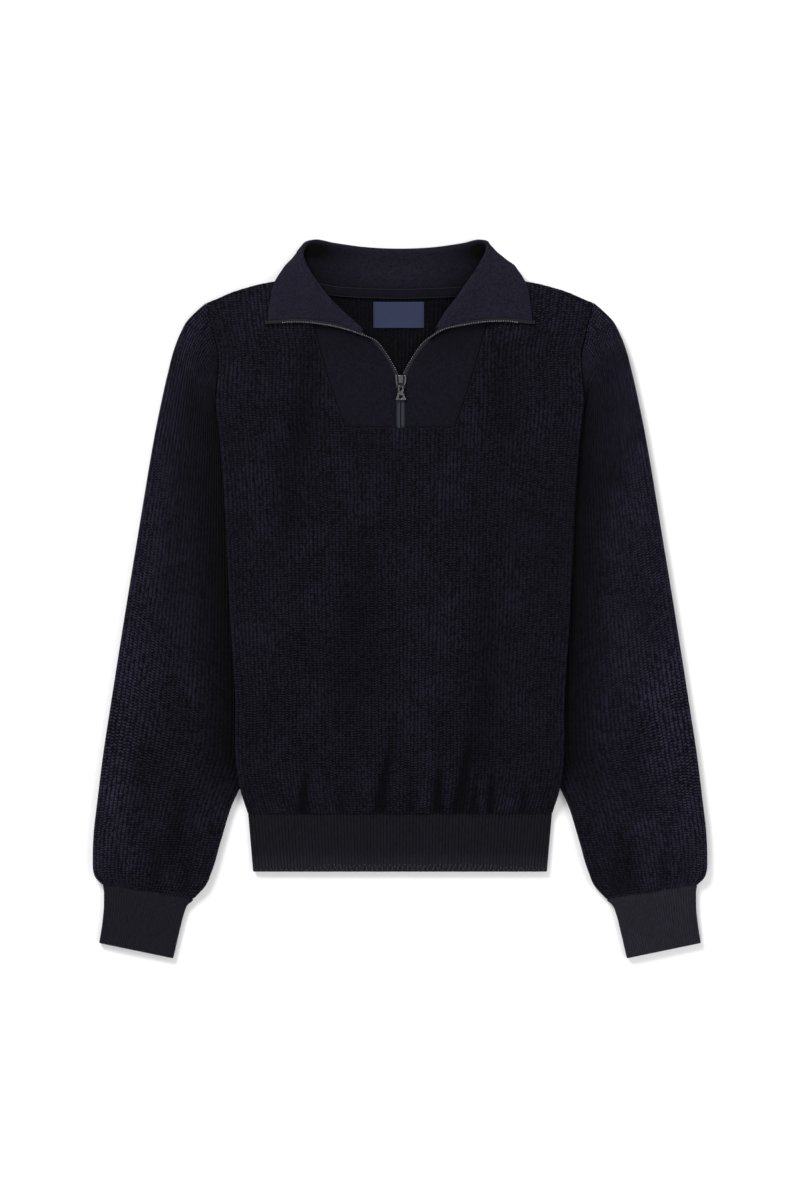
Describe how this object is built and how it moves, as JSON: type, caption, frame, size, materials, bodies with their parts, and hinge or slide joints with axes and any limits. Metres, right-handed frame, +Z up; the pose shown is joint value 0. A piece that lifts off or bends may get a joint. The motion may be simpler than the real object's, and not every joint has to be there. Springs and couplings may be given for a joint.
{
  "type": "quarter zip sweater, laid flat",
  "caption": "Ribbed knit sweater laid flat on its back, with an open quarter zip, a turned-down collar and ribbed cuffs and hem.",
  "frame": {"origin": "centre of the garment's box, on the surface that its back lies on", "axes": "+X to the right of the laid garment as seen, +Y from the hem towards the neck, +Z up from the surface; left and right in names are the viewer's"},
  "size_m": [0.6156, 0.72, 0.0159],
  "materials": {
    "rib_knit": "matt half-cardigan rib in dark navy yarn",
    "band_knit": "matt fine 1 by 1 rib in dark navy yarn",
    "smooth_knit": "matt close smooth knit, a little lighter navy",
    "woven_label": "satin woven label, bare",
    "zip_tape_cloth": "matt woven tape",
    "zip_metal": "dull gunmetal nickel"
  },
  "bodies": {
    "sweater": {"front_panel": "rib_knit", "back_panel": "rib_knit", "sleeve_left": "rib_knit", "sleeve_right": "rib_knit", "hem_band": "band_knit", "cuff_left": "band_knit", "cuff_right": "band_knit", "placket_left": "smooth_knit", "placket_right": "smooth_knit", "collar": "smooth_knit", "neck_tape": "smooth_knit", "label": "woven_label", "zip_tape_left": "zip_tape_cloth", "zip_tape_right": "zip_tape_cloth", "zip_stop_left": "zip_metal", "zip_stop_right": "zip_metal", "zip_slider": "zip_metal"},
    "pull": {"zip_pull": "zip_metal"}
  },
  "joints": [
    {"name": "pull_hinge", "type": "hinge", "parent": "sweater", "child": "pull", "pos_m": [0.0007, 0.21244, 0.00975], "axis": [-1, 0, 0], "range_deg": [0, 170]}
  ]
}
